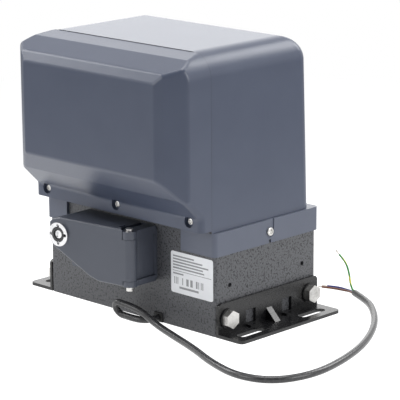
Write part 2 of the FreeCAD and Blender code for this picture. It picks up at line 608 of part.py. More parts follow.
def release_lever():
    """Deep lever with a slanted face, hinge barrel, cam lug and lock."""
    nose_y = "hinge_y-knuckle_r"
    slope = "slant*(hinge_x-({}))"
    outline = [("hinge_x", "lever_lo"), (-1, "lever_lo"), (-14, 49), (-61.4, 74), (-67.5, 80),
               ("lever_left", 88),
               (-69, 98), (-62, 104.5), (-52, "lever_hi"), ("hinge_x", "lever_hi")]
    plan = [("hinge_x", nose_y), (-65, f"{nose_y}-" + slope.format(-65)), ("lever_left", -127.5),
            ("lever_left", "lever_back"), (22, "lever_back"), (22, -115), ("hinge_x", -115)]
    solid = common("lever_solid", [prism("lever_front", "y", outline, -140, 40),
                                   prism("lever_plan", "z", plan, 40, 80)])
    outer = rounded("lever_outer", solid, 2.5,
                    lambda e, m: m.y < -117 and m.x < 30 and abs(e.Vertexes[0].X - e.Vertexes[-1].X) > 0.5)
    deep_outline = [(32, "lever_lo+lever_t"), (0, "lever_lo+lever_t"), (-12.5, 51.8), (-59.5, 76.7),
                    (-64.8, 82),
                    ("lever_left+lever_t", 89), (-66, 96.5), (-60.3, 101.8), (-51.5, "lever_hi-lever_t"),
                    (32, "lever_hi-lever_t")]
    deep_plan = [(19, f"{nose_y}+lever_t-" + slope.format(19)),
                 (-63, f"{nose_y}+lever_t-" + slope.format(-63)),
                 ("lever_left+lever_t", -125.5), ("lever_left+lever_t", "lever_back+1"),
                 (19, "lever_back+1")]
    hollow = common("lever_hollow", [prism("lever_deep_front", "y", deep_outline, -140, 40),
                                     prism("lever_deep_plan", "z", deep_plan, 40, 80)])
    shell = cut("lever_shell", outer, [hollow])
    lug = box("lever_lug", (-6, 6), (-122, "rod_front-0.3"), ("axis_z-6", "axis_z+6"))
    barrel = rod("lever_barrel", "z", ("hinge_x", "hinge_y", "knuckle_lo"), "knuckle_r",
                 "knuckle_hi-knuckle_lo")
    removed = [
        rod("lever_bore", "z", ("hinge_x", "hinge_y", 40), "pin_r+run_gap", 80),
        rod("lever_clear_low", "z", ("hinge_x", "hinge_y", 40), "knuckle_r+0.6", "knuckle_lo-40"),
        rod("lever_clear_high", "z", ("hinge_x", "hinge_y", "knuckle_hi"), "knuckle_r+0.6", 20),
        tilted(rod("lever_lock_hole", "y", (0, 0, 0), "lock_body_r+0.1", 8), 2),
    ]
    keep("release_lever", cut("release_lever", fuse("lever_joined", [shell, lug, barrel]), removed))
    bezel = tilted(rod("bezel_disc", "y", (0, 0, 0), "lock_r", 2.4), 2.4)
    body = tilted(rod("bezel_body", "y", (0, 0, 0), "lock_body_r", 14), 0)
    well = tilted(rod("bezel_well", "y", (0, 0, 0), "plug_r+run_gap", 30), 4)
    notches = []
    for index, (across, up) in enumerate(((0, 1), (0, -1), (1, 0), (-1, 0))):
        notch = doc.addObject("Part::Cylinder", f"bezel_notch{index}")
        bind(notch, "Radius", 1.8)
        bind(notch, "Height", 3)
        tilted(notch, 3)
        bind(notch, "Placement.Base.x", f"lock_x+slant*3+{across}*9.4")
        bind(notch, "Placement.Base.y", f"hinge_y-knuckle_r-slant*(hinge_x-lock_x)-3+{across}*9.4*slant")
        bind(notch, "Placement.Base.z", f"lock_z+{up}*9.4")
        notches.append(notch)
    keep("lock_bezel", cut("lock_bezel", fuse("bezel_solid", [bezel, body]), [well, *notches]))
    plug = tilted(rod("plug_body", "y", (0, 0, 0), "plug_r", 16), 1.4)
    square = doc.addObject("Part::Box", "plug_square")
    for side, size in (("Length", 6), ("Width", 6), ("Height", 1.6)):
        bind(square, side, size)
    tilted(square, 1.8)
    bind(square, "Placement.Base.x", "lock_x+slant*1.8-3")
    bind(square, "Placement.Base.z", "lock_z+3")
    keep("lock_plug", cut("lock_plug", plug, [square]))
    cam = doc.addObject("Part::Box", "lock_cam_arm")
    for side, size in (("Length", 6), ("Width", "cam_reach+3"), ("Height", 2)):
        bind(cam, side, size)
    tilted(cam, -14.6)
    bind(cam, "Placement.Base.x", "lock_x-slant*14.6-3")
    bind(cam, "Placement.Base.z", "lock_z+cam_reach")
    keep("lock_cam", cam)


def release_train():
    """Rod through the casing's front wall and the clutch sleeve that it holds in."""
    shaft = rod("rod_shank", "y", (0, "rod_front", "axis_z"), "rod_r", "sleeve_y-0.3-rod_front")
    pad = rod("rod_pad", "y", (0, "sleeve_y-4", "axis_z"), 9, 3.7)
    keep("release_rod", fuse("release_rod", [shaft, pad]))
    cup = rod("sleeve_cup", "y", (0, "sleeve_y", "axis_z"), 26, 15)
    dogs = []
    for index in range(3):
        dog = box(f"sleeve_dog{index}", (-4, 4), (-9.5, -4.3), (16.5, 24.5))
        dogs.append(turned(dog, 120 * index))
    bore = rod("sleeve_bore", "y", (0, "sleeve_y+3.5", "axis_z"), "shaft_r+run_gap", 20)
    keep("clutch_sleeve", cut("clutch_sleeve", fuse("sleeve_solid", [cup, *dogs]), [bore]))


def turned(item, degrees):
    """Turn an item about the output shaft's axis, after which its own heights count from that axis."""
    lift = number("axis_z")
    spin = FreeCAD.Placement(V(0, 0, lift), FreeCAD.Rotation(V(0, 1, 0), degrees))
    moved = doc.addObject("Part::Compound", item.Name + "_turned")
    moved.Links = [item]
    moved.Placement = spin
    return moved


def teeth(count, root, tip, root_share, tip_share):
    """Outline of straight-flanked teeth about the origin, as expressions; shares are of one pitch."""
    points = []
    for index in range(int(number(count))):
        for radius, share in ((root, -root_share), (tip, -tip_share), (tip, tip_share), (root, root_share)):
            angle = f"({index}+{share}/2)*360/{count}"
            points.append((f"({radius})*cos({angle})", f"({radius})*sin({angle})"))
    return points


def output_train():
    """Output shaft with worm wheel, pinion, key, washer and bolt, and the bearings and seal it runs in."""
    shaft = rod("shaft_body", "y", (0, "shaft_front", "axis_z"), "shaft_r",
                "pinion_y+pinion_w-0.5-shaft_front")
    key_x = ("-key_w/2", "key_w/2")
    keyway = box("shaft_keyway", key_x, ("pinion_y", "pinion_y+pinion_w"), ("axis_z+key_z", "axis_z+20"))
    tapped = rod("shaft_tapped", "y", (0, "tap_y", "axis_z"), "tap_r", 30)
    keep("output_shaft", cut("output_shaft", shaft, [keyway, tapped]))
    blank = prism("wheel_blank", "y", teeth("wheel_teeth", "module_w*(wheel_teeth/2-1.25)",
                                            "module_w*(wheel_teeth/2+0.2)", 0.60, 0.25),
                  "-wheel_half", "2*wheel_half")
    place(blank, (0, 0, "axis_z"))
    slots = [turned(box(f"wheel_slot{index}", (-4.6, 4.6), ("-wheel_half-1", -4), (16, 25)), 120 * index)
             for index in range(3)]
    keep("worm_wheel", cut("worm_wheel", blank, [rod("wheel_bore", "y", (0, -10, "axis_z"), "shaft_r", 20),
                                                 *slots]))
    gear = prism("pinion_blank", "y", teeth("pinion_teeth", "module_p*(pinion_teeth/2-1.25)",
                                            "module_p*(pinion_teeth/2+1)", 0.66, 0.22), "pinion_y",
                 "pinion_w")
    place(gear, (0, 0, "axis_z"))
    hub = rod("pinion_hub", "y", (0, "pinion_y-2.5", "axis_z"), "hub_r", 4)
    slot = box("pinion_keyway", key_x, ("pinion_y-5", "pinion_y+pinion_w+1"),
               ("axis_z+5", "axis_z+key_z+key_h"))
    keep("output_pinion", cut("output_pinion", fuse("pinion_solid", [gear, hub]),
                              [rod("pinion_bore", "y", (0, "pinion_y-8", "axis_z"), "shaft_r", 40), slot]))
    keep("pinion_key", box("pinion_key", key_x, ("pinion_y", "pinion_y+pinion_w-1"),
                           ("axis_z+key_z", "axis_z+key_z+key_h")))
    keep("pinion_washer", ring("pinion_washer", "y", (0, "pinion_y+pinion_w", "axis_z"), "end_washer_r",
                               "tap_r",
                               "end_washer_t"))
    keep("pinion_bolt", fuse("pinion_bolt", [
        hexagon("pinion_bolt_head", "y", (0, "pinion_y+pinion_w+end_washer_t", "axis_z"), 13, 5.3),
        rod("pinion_bolt_shank", "y", (0, "tap_y+2", "axis_z"), "tap_r", "pinion_y+pinion_w+2-tap_y")]))
    for name, start in (("output_bearing_inner", "boss_y"), ("output_bearing_outer",
                                                             "casing_d/2-wall-bearing_w")):
        keep(name, ring(name, "y", (0, start, "axis_z"), "bearing_r", "shaft_r+run_gap", "bearing_w"))
    keep("shaft_seal", ring("shaft_seal", "y", (0, "nose_y-2-seal_w", "axis_z"), "seal_r", "shaft_r+run_gap",
                            "seal_w"))


def motor():
    """Motor over the gearbox: flange, housing, stator, windings, end shield, rotor with worm, bearings."""
    spot = ("worm_x", 0)
    stack_h = "stack_hi-stack_lo"
    bore = "rotor_r+run_gap"
    rings = (
        ("motor_flange", "casing_h", "flange_r", "motor_seat_r", "flange_t"),
        ("motor_housing", "casing_h+flange_t", "motor_r", "motor_r-motor_wall",
         "motor_top-casing_h-flange_t"),
        ("stator_core", "stack_lo", "motor_r-motor_wall", "bore_r", stack_h),
        ("motor_end_shield", "motor_top", "motor_r", "motor_seat_r", "flange_t"),
        ("motor_bearing_lower", "casing_h", "motor_seat_r", bore, "motor_seat_w"),
        ("motor_bearing_upper", "motor_top", "motor_seat_r", bore, "motor_seat_w"),
        ("worm_bearing", "foot_seat_z", "foot_seat_r", bore, "motor_seat_w"),
        ("rotor_core", "stack_lo", "bore_r-air_gap", "rotor_r", stack_h),
    )
    for name, low, outer, inner, height in rings:
        keep(name, ring(name, "z", (*spot, low), outer, inner, height))
    coils = [ring("coil_low", "z", (*spot, "stack_lo-coil_h"), "coil_r", "coil_in", "coil_h"),
             ring("coil_high", "z", (*spot, "stack_hi"), "coil_r", "coil_in", "coil_h")]
    keep("stator_windings", fuse("stator_windings", coils))
    foot = "foot_seat_z+0.5"
    shaft = rod("rotor_spindle", "z", (*spot, foot), "rotor_r", f"motor_top+flange_t-({foot})")
    core = rod("worm_core", "z", (*spot, "axis_z-worm_half"), "worm_r", "2*worm_half")
    keep("rotor_shaft", fuse("rotor_shaft", [shaft, core, worm_thread()]))


def worm_thread():
    """One start of trapezoid thread round the worm core, about five turns."""
    lead = number("module_w") * math.pi
    turns = 5.2
    helix = doc.addObject("Part::Helix", "worm_helix")
    helix.Pitch = lead
    helix.Height = lead * turns
    helix.Radius = number("worm_r")
    profile = doc.addObject("Part::Feature", "worm_profile")
    root, tip = number("worm_r") - 0.9, number("worm_r") + 2.5
    profile.Shape = Part.makePolygon([V(root, 0, -1.5), V(tip, 0, -0.6), V(tip, 0, 0.6), V(root, 0, 1.5),
                                      V(root, 0, -1.5)])
    thread = doc.addObject("Part::Sweep", "worm_thread")
    thread.Sections = [profile]
    thread.Spine = (helix, ["Edge1"])
    thread.Solid = True
    thread.Frenet = True
    thread.Placement = FreeCAD.Placement(V(number("worm_x"), 0, number("axis_z") - lead * 2.5),
                                         FreeCAD.Rotation())
    return thread


def electrics():
    """Control board, its parts and the run capacitor on the tray."""
    deck = "ledge_z+tray_t"
    top = "board_z+board_t"
    keep("control_board", box("control_board", ("board_left", "board_right"), ("board_front", "board_rear"),
                              ("board_z", top)))
    posts = [rod(f"standoff{index}", "z", (x, y, deck), 3, f"board_z-({deck})")
             for index, (x, y) in enumerate((x, y) for x in ("board_left+post_in", "board_right-post_in")
                                            for y in ("board_front+post_in", "board_rear-post_in"))]
    keep("board_standoffs", fuse("board_standoffs", posts))
    keep("transformer", box("transformer", ("board_left+8", "board_left+50"),
                            ("board_rear-42", "board_rear-6"),
                            (top, top + "+36")))
    relays = [box(f"relay{index}", ("board_right-26", "board_right-10"),
                  (f"board_front+27+23*{index}", f"board_front+44+23*{index}"), (top, top + "+16"))
              for index in range(3)]
    keep("relays", fuse("relays", relays))
    blocks = []
    for index in range(8):
        low = f"board_left+6+{index}*terminal_p"
        body = box(f"terminal_body{index}", (low, low + "+terminal_p"), ("board_front+1", "board_front+12"),
                   (top, top + "+12"))
        blocks.append(cut(f"terminal{index}", body, [
            rod(f"terminal_screw{index}", "z", (low + "+terminal_p/2", "board_front+6.5", top + "+8"), 2.5,
                6),
            box(f"terminal_mouth{index}", (low + "+2", low + "+terminal_p-2"),
                ("board_front", "board_front+8"),
                (top + "+2", top + "+6"))]))
    keep("terminal_block", fuse("terminal_block", blocks))
    keep("run_capacitor", rod("run_capacitor", "z", (92, 44, deck), "capacitor_r", "capacitor_h"))


def label():
    """Bare rating label on the casing's front wall."""
    plate = box("label_plate", ("label_x", "label_x+label_w"), ("-casing_d/2-label_t", "-casing_d/2"),
                ("label_lo", "label_hi"))
    keep("rating_label", rounded("rating_label", plate, "label_r", lambda e, m: e.Length < 0.5))


def swept(name, route, radius):
    """Round tube along straight runs joined by tangent arcs, each as large as its two runs allow."""
    points = [V(*point) for point in route]
    runs = [after - before for before, after in zip(points, points[1:])]
    edges, radii, here = [], [], points[0]
    for corner, run, onward in zip(points[1:], runs, runs[1:]):
        half_turn = run.getAngle(onward) / 2
        reach = 0.45 * min(run.Length, onward.Length)
        start = corner - run / run.Length * reach
        finish = corner + onward / onward.Length * reach
        bend = reach / math.tan(half_turn)
        inward = onward / onward.Length - run / run.Length
        crest = corner + inward / inward.Length * bend * (1 / math.cos(half_turn) - 1)
        edges.append(Part.LineSegment(here, start).toShape())
        edges.append(Part.Arc(start, crest, finish).toShape())
        radii.append(round(bend))
        here = finish
    edges.append(Part.LineSegment(here, points[-1]).toShape())
    spine = doc.addObject("Part::Feature", name + "_spine")
    spine.Shape = Part.Wire(edges)
    profile = doc.addObject("Part::Circle", name + "_profile")
    bind(profile, "Radius", radius)
    profile.Placement = FreeCAD.Placement(points[0], FreeCAD.Rotation(V(0, 0, 1), runs[0]))
    tube = doc.addObject("Part::Sweep", name)
    tube.Sections = [profile]
    tube.Spine = (spine, [f"Edge{index + 1}" for index in range(len(edges))])
    tube.Solid = True
    doc.recompute()
    ideal = math.pi * number(radius) ** 2 * spine.Shape.Length
    print(name, "length", round(spine.Shape.Length), "radii", radii, "volume ratio",
          round(tube.Shape.Volume / ideal, 4))
    return keep(name, tube)


def cable():
    """Mains cable from inside the casing, folded back over itself before the wall and laid on the floor."""
    route = [(42, -49.5, 38), (42, -49.5, 21), (42, -57.5, 8), (42, -70, 4.2), (42.3, -83, 4),
             (35, -93.3, 3.75),
             (18, -95.5, 3.7), (-9, -95.4, 3.9), (-8.8, -95.6, 20), (14, -96, 19.6), (36, -97.4, 13.4),
             (64, -101.5, 5.2), (96, -110.5, 3.68), (140, -126, 3.66), (186, -147, 3.66),
             (232, -159.5, 3.66), (268, -147, 3.66), (283, -107, 3.66), (277, -58, 3.66), (258, 2, 3.66),
             (222, 63, 3.66), (180, 108, 3.66), (153, 125, 3.66), (133, 134.5, 3.66)]
    swept("mains_cable", route, "cord_r")
    swept("core_brown", [(132.48, 133.41, 2.96), (124.36, 137.27, 2.96), (114, 139.8, 1.5),
                         (102.5, 139.4, 1.15),
                         (91.5, 136.6, 1.15), (82, 132.5, 1.15)], "core_r")
    swept("core_blue", [(133.52, 135.59, 2.96), (124.49, 139.88, 2.96), (114.5, 144.2, 1.35),
                        (104, 145.9, 1.15),
                        (93, 143.4, 1.15), (82, 138, 1.15)], "core_r")
    swept("core_green_yellow", [(133, 134.5, 5.06), (127.58, 137.07, 5.06), (122.6, 138.6, 12),
                                (119.3, 139.5, 22),
                                (115.5, 140.5, 33), (110, 141, 42.5), (104, 141.4, 50)], "core_r")
    wall_y = "-casing_d/2"
    block = box("grommet_block", ("cord_x-notch_w/2", "cord_x+notch_w/2"),
                (wall_y + "-1.2", wall_y + "+wall"),
                (0, "notch_h"))
    keep("cable_grommet", cut("cable_grommet", block,
                              [rod("grommet_bore", "y", ("cord_x", -90, 4.2), "cord_r+0.1", 30)]))
    clamp = box("clamp_block", ("cord_x-8", "cord_x+8"), (-57, "web_y"), (29.5, 36.5))
    keep("cable_clamp", cut("cable_clamp", clamp, [rod("clamp_bore", "z", ("cord_x", -49.5, 20), "cord_r",
                                                       30)]))


for build_group in (gearbox, foot_brackets, collar, tray, hood, front_cover, release_housing, release_lever,
                    release_train, output_train, motor, electrics, label, cable):
    build_group()
doc.recompute()

for item in doc.Objects:
    if any(word in item.State for word in ("Invalid", "Error")):
        raise RuntimeError("feature failed: " + item.Name)
os.makedirs("parts", exist_ok=True)
for name, solid in nodes.items():
    if not solid.Shape.isValid() or not solid.Shape.Solids:
        raise RuntimeError("bad solid: " + name)
    solid.Shape.exportStep(f"parts/{name}.step")
    bounds = solid.Shape.BoundBox
    print(name, len(solid.Shape.Solids), [round(v, 1) for v in (bounds.XMin, bounds.YMin, bounds.ZMin,
                                                                bounds.XMax, bounds.YMax, bounds.ZMax)])
print(len(nodes), "nodes")
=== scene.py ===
"""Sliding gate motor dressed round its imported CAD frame, in metres and in the CAD's own axes.

The sections follow the object as it is put together. Each holds the sizes, meshes, finishes and
frame calls of one group of pieces.
"""
import math

import bpy
import numpy as np
from mathutils import Matrix, Vector


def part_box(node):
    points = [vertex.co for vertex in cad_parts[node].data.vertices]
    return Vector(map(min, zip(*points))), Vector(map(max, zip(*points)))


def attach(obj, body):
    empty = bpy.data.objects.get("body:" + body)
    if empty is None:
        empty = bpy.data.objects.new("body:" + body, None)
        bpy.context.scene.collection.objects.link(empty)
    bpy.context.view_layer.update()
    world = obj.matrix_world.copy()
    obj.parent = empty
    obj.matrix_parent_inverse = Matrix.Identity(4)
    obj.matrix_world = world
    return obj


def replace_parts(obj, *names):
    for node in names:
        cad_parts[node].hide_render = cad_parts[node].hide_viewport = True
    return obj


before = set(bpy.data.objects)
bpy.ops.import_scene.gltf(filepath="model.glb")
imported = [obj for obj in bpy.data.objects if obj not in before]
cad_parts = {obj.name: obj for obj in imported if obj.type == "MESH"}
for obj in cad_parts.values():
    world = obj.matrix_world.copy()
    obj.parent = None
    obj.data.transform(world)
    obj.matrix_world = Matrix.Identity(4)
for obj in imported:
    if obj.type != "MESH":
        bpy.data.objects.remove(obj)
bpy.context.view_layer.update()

# Studio. A white cove behind the object with large soft lamps above, behind and at both sides, and a
# dim room on the camera's side. The floor is pale and keeps the shadow; beyond it all is plain white.
scene = bpy.context.scene
scene.view_settings.view_transform = "Standard"

CAMERA_AZIMUTH = math.radians(44.188)
CAMERA_ELEVATION = math.radians(14.065)
CAMERA_ROLL = math.radians(-0.36)
CAMERA_LENS = 195.07
CAMERA_DISTANCE = 2.367892
CAMERA_ASIDE = 0.020472
CAMERA_LIFT = 0.107085
camera_back = Vector((math.sin(CAMERA_AZIMUTH) * math.cos(CAMERA_ELEVATION),
                      -math.cos(CAMERA_AZIMUTH) * math.cos(CAMERA_ELEVATION),
                      math.sin(CAMERA_ELEVATION)))
camera_right = Vector((math.cos(CAMERA_AZIMUTH), math.sin(CAMERA_AZIMUTH), 0.0))
camera_up = camera_back.cross(camera_right)
camera_place = camera_back * CAMERA_DISTANCE + camera_right * CAMERA_ASIDE + camera_up * CAMERA_LIFT
camera_data = bpy.data.cameras.new("studio_camera")
camera_data.sensor_width = 36.0
camera_data.lens = CAMERA_LENS
camera = bpy.data.objects.new("studio_camera", camera_data)
camera.matrix_world = (Matrix.Translation(camera_place)
                       @ Matrix((camera_right, camera_up, camera_back)).transposed().to_4x4()
                       @ Matrix.Rotation(CAMERA_ROLL, 4, "Z"))
scene.collection.objects.link(camera)
scene.camera = camera


def soft_lamp(name, place, aim, side, power):
    """Square area lamp at place, turned to face aim."""
    lamp_data = bpy.data.lights.new(name, "AREA")
    lamp_data.size = side
    lamp_data.energy = power
    lamp = bpy.data.objects.new(name, lamp_data)
    facing = (Vector(aim) - Vector(place)).to_track_quat("-Z", "Y")
    lamp.matrix_world = Matrix.Translation(Vector(place)) @ facing.to_matrix().to_4x4()
    scene.collection.objects.link(lamp)


LAMPS = {  # place, aim, side and power
    "overhead_lamp": ((-0.1, 0.1, 2.0), (0.0, 0.0, 0.15), 1.4, 26.0),
    "rear_low_lamp": ((-1.5, 1.6, 0.85), (0.0, 0.0, 0.25), 1.4, 7.0),
    "rear_high_lamp": ((0.5, 1.6, 1.4), (0.0, 0.0, 0.25), 1.0, 18.0),
    "left_lamp": ((-1.7, -0.6, 1.35), (0.0, 0.0, 0.2), 1.0, 16.0),
    "front_lamp": ((-0.7, -2.3, 0.9), (0.0, 0.0, 0.15), 1.2, 16.0),
    "right_lamp": ((2.3, 0.4, 0.9), (0.0, 0.0, 0.15), 1.2, 23.0),
}
for lamp_name, lamp_setting in LAMPS.items():
    soft_lamp(lamp_name, *lamp_setting)


def object_place(nodes):
    """Socket with the place of a surface point on its object's own axes."""
    return nodes.new("ShaderNodeTexCoord").outputs["Object"]


def combined(nodes, links, operation, first, second):
    """One math node on two values, each a number or a socket."""
    result = nodes.new("ShaderNodeMath")
    result.operation = operation
    for index, value in enumerate((first, second)):
        if isinstance(value, float):
            result.inputs[index].default_value = value
        else:
            links.new(value, result.inputs[index])
    return result.outputs[0]


def remapped(nodes, links, value, low, high, start=0.3, end=0.7):
    """Value between start and end carried over to low and high."""
    ramp = nodes.new("ShaderNodeMapRange")
    ramp.inputs["From Min"].default_value = start
    ramp.inputs["From Max"].default_value = end
    ramp.inputs["To Min"].default_value = low
    ramp.inputs["To Max"].default_value = high
    links.new(value, ramp.inputs["Value"])
    return ramp.outputs["Result"]


def seen_directly(nodes, links):
    """1 for rays from the camera, from a mirror or through glass, and 0 for the rays that light things."""
    path = nodes.new("ShaderNodeLightPath")
    mirrored = combined(nodes, links, "MAXIMUM", path.outputs["Is Camera Ray"], path.outputs["Is Glossy Ray"])
    return combined(nodes, links, "MAXIMUM", mirrored, path.outputs["Is Transmission Ray"])


COVE_LIGHT = 0.34
WALL_GLOW, ROOM_GLOW = 1.0, 0.25
world = bpy.data.worlds.new("white_cove")
scene.world = world
world.use_nodes = True
world.node_tree.nodes.clear()
cove_nodes, cove_links = world.node_tree.nodes, world.node_tree.links
cove_light = cove_nodes.new("ShaderNodeBackground")
cove_light.inputs["Color"].default_value = (0.93, 0.96, 1.0, 1.0)
cove_light.inputs["Strength"].default_value = COVE_LIGHT
cove_wall = cove_nodes.new("ShaderNodeBackground")
cove_wall.inputs["Color"].default_value = (1.0, 1.0, 1.0, 1.0)
cove_view = cove_nodes.new("ShaderNodeTexCoord")
towards_room = cove_nodes.new("ShaderNodeVectorMath")
towards_room.operation = "DOT_PRODUCT"
towards_room.inputs[1].default_value = (camera_back.x, camera_back.y, 0.0)
cove_links.new(cove_view.outputs["Generated"], towards_room.inputs[0])
room_shade = remapped(cove_nodes, cove_links, towards_room.outputs["Value"], WALL_GLOW, ROOM_GLOW, 0.0, 0.6)
room_shade.node.interpolation_type = "SMOOTHSTEP"
cove_links.new(room_shade, cove_wall.inputs["Strength"])
cove_mix = cove_nodes.new("ShaderNodeMixShader")
cove_out = cove_nodes.new("ShaderNodeOutputWorld")
cove_links.new(seen_directly(cove_nodes, cove_links), cove_mix.inputs[0])
cove_links.new(cove_light.outputs[0], cove_mix.inputs[1])
cove_links.new(cove_wall.outputs[0], cove_mix.inputs[2])
cove_links.new(cove_mix.outputs[0], cove_out.inputs["Surface"])

FLOOR_HALF = 4.0
# Painted pool of light: near the object the floor glows brighter in mirrors and to the camera.
FLOOR_NEAR_PAINTED_GLOW, FLOOR_FAR_PAINTED_GLOW = 1.6, 0.35
FLOOR_NEAR_SHARE, FLOOR_FAR_SHARE = 0.72, 1.0
PAINTED_GLOW_FADE_START, PAINTED_GLOW_FADE_END = 0.25, 1.2
SHARE_RISE_START, SHARE_RISE_END = 0.4, 1.3
floor_mesh = bpy.data.meshes.new("studio_floor")
floor_mesh.from_pydata([(-FLOOR_HALF, -FLOOR_HALF, 0.0), (FLOOR_HALF, -FLOOR_HALF, 0.0),
                        (FLOOR_HALF, FLOOR_HALF, 0.0), (-FLOOR_HALF, FLOOR_HALF, 0.0)], [], [(0, 1, 2, 3)])
studio_floor = bpy.data.objects.new("studio_floor", floor_mesh)
scene.collection.objects.link(studio_floor)
floor_paint = bpy.data.materials.new("floor_paint")
floor_paint.use_nodes = True
floor_paint.node_tree.nodes.clear()
floor_nodes, floor_links = floor_paint.node_tree.nodes, floor_paint.node_tree.links
floor_matt = floor_nodes.new("ShaderNodeBsdfDiffuse")
floor_matt.inputs["Color"].default_value = (0.84, 0.84, 0.84, 1.0)
floor_glow = floor_nodes.new("ShaderNodeEmission")
floor_glow.inputs["Color"].default_value = (1.0, 1.0, 1.0, 1.0)
floor_reach = floor_nodes.new("ShaderNodeVectorMath")
floor_reach.operation = "LENGTH"
floor_links.new(object_place(floor_nodes), floor_reach.inputs[0])
floor_path = floor_nodes.new("ShaderNodeLightPath")
# Painted glow, strongest near the object; it shows as a painted reflection low on the mouldings.
floor_painted_glow = remapped(floor_nodes, floor_links, floor_reach.outputs["Value"], FLOOR_NEAR_PAINTED_GLOW,
                      FLOOR_FAR_PAINTED_GLOW, PAINTED_GLOW_FADE_START, PAINTED_GLOW_FADE_END)
floor_white_and_painted_glow = combined(floor_nodes, floor_links, "MAXIMUM", floor_painted_glow, floor_path.outputs["Is Camera Ray"])
floor_links.new(floor_white_and_painted_glow, floor_glow.inputs["Strength"])
floor_mix = floor_nodes.new("ShaderNodeMixShader")
floor_out = floor_nodes.new("ShaderNodeOutputMaterial")
floor_seen = seen_directly(floor_nodes, floor_links)
floor_share = remapped(floor_nodes, floor_links, floor_reach.outputs["Value"], FLOOR_NEAR_SHARE,
                       FLOOR_FAR_SHARE, SHARE_RISE_START, SHARE_RISE_END)
floor_links.new(combined(floor_nodes, floor_links, "MULTIPLY", floor_seen, floor_share), floor_mix.inputs[0])
floor_links.new(floor_matt.outputs[0], floor_mix.inputs[1])
floor_links.new(floor_glow.outputs[0], floor_mix.inputs[2])
floor_links.new(floor_mix.outputs[0], floor_out.inputs["Surface"])
floor_mesh.materials.append(floor_paint)


# Mains cable. A round black cable of 7.3 mm in soft PVC, clamped inside the casing, folded back over
# itself in front of the wall and then laid round the right foot in one loose bow.
def new_finish(name, roughness, metallic=0.0):
    """Empty node material; gives the material, its node list, its links and its shader."""
    finish = bpy.data.materials.new(name)
    finish.use_nodes = True
    nodes, links = finish.node_tree.nodes, finish.node_tree.links
    nodes.clear()
    shader = nodes.new("ShaderNodeBsdfPrincipled")
    shader.inputs["Roughness"].default_value = roughness
    shader.inputs["Metallic"].default_value = metallic
    output = nodes.new("ShaderNodeOutputMaterial")
    links.new(shader.outputs[0], output.inputs["Surface"])
    return finish, nodes, links, shader


def grain(nodes, links, size, detail=3.0, stretch=(1.0, 1.0, 1.0)):
    """Noise of about the given size in metres on Object coordinates, drawn out along an axis by stretch."""
    spread = nodes.new("ShaderNodeMapping")
    spread.inputs["Scale"].default_value = stretch
    noise = nodes.new("ShaderNodeTexNoise")
    noise.inputs["Scale"].default_value = 1.0 / size
    noise.inputs["Detail"].default_value = detail
    links.new(object_place(nodes), spread.inputs["Vector"])
    links.new(spread.outputs[0], noise.inputs["Vector"])
    return noise.outputs["Fac"]


def blended(nodes, links, share, first, second):
    """Colour between two colours; either may be a colour or a socket."""
    mix = nodes.new("ShaderNodeMix")
    mix.data_type = "RGBA"
    links.new(share, mix.inputs["Factor"])
    for name, colour in (("A", first), ("B", second)):
        socket = [s for s in mix.inputs if s.name == name and s.type == "RGBA"][0]
        if isinstance(colour, tuple):
            socket.default_value = (*colour, 1.0)
        else:
            links.new(colour, socket)
    return [s for s in mix.outputs if s.type == "RGBA"][0]


def dented(nodes, links, shader, height, depth, strength=1.0):
    """Bump of the given depth in metres on the shader's normal."""
    bump = nodes.new("ShaderNodeBump")
    bump.inputs["Strength"].default_value = strength
    bump.inputs["Distance"].default_value = depth
    links.new(height, bump.inputs["Height"])
    links.new(bump.outputs[0], shader.inputs["Normal"])


def toned(name, dark, light, size, roughness, metallic=0.0, depth=0.0, stretch=(1.0, 1.0, 1.0)):
    """Plain finish whose colour and gloss wander a little with a grain of the given size."""
    finish, nodes, links, shader = new_finish(name, 0.5, metallic)
    noise = grain(nodes, links, size, 4.0, stretch)
    links.new(blended(nodes, links, remapped(nodes, links, noise, 0.0, 1.0), dark, light),
              shader.inputs["Base Color"])
    links.new(remapped(nodes, links, noise, roughness * 0.85, roughness * 1.15), shader.inputs["Roughness"])
    if depth:
        dented(nodes, links, shader, noise, depth)
    return finish


def dress(finish, *names):
    """Give CAD nodes one finish in place of their plain colour."""
    for name in names:
        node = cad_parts[name]
        node.data.materials.clear()
        node.data.materials.append(finish)


def flex(name, route, radius, finish):
    """Round cord on one smooth NURBS line with the route as its control points."""
    line = bpy.data.curves.new(name, "CURVE")
    line.dimensions = "3D"
    spline = line.splines.new("NURBS")
    spline.points.add(len(route) - 1)
    for point, place in zip(spline.points, route):
        point.co = (*place, 1.0)
    spline.order_u = 3
    spline.use_endpoint_u = True
    spline.resolution_u = 16
    line.bevel_depth = radius
    line.bevel_resolution = 6
    line.use_fill_caps = True
    line.materials.append(finish)
    cord = bpy.data.objects.new(name, line)
    scene.collection.objects.link(cord)
    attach(cord, "body")
    return cord


CABLE_RADIUS = 0.00365
CABLE_ROUTE = [
    (0.042, -0.0495, 0.038), (0.042, -0.0495, 0.021), (0.042, -0.0575, 0.008), (0.042, -0.070, 0.0042),
    (0.0423, -0.083, 0.004), (0.0365, -0.0935, 0.00375), (0.0235, -0.0963, 0.0037),
    (0.0105, -0.0955, 0.0037), (0.0038, -0.0955, 0.0038), (-0.0010, -0.0973, 0.00825),
    (-0.0010, -0.0997, 0.01455), (0.0038, -0.1012, 0.0190), (0.0104, -0.1010, 0.0188),
    (0.021, -0.0998, 0.0180), (0.038, -0.0982, 0.0146), (0.062, -0.1010, 0.0062),
    (0.096, -0.1105, 0.00368), (0.140, -0.126, 0.00366), (0.186, -0.147, 0.00366),
    (0.232, -0.1595, 0.00366), (0.268, -0.147, 0.00366), (0.283, -0.107, 0.00366), (0.277, -0.058, 0.00366),
    (0.258, 0.002, 0.00366), (0.222, 0.063, 0.00366), (0.180, 0.108, 0.00366), (0.153, 0.125, 0.00366),
    (0.133, 0.1345, 0.00366)]
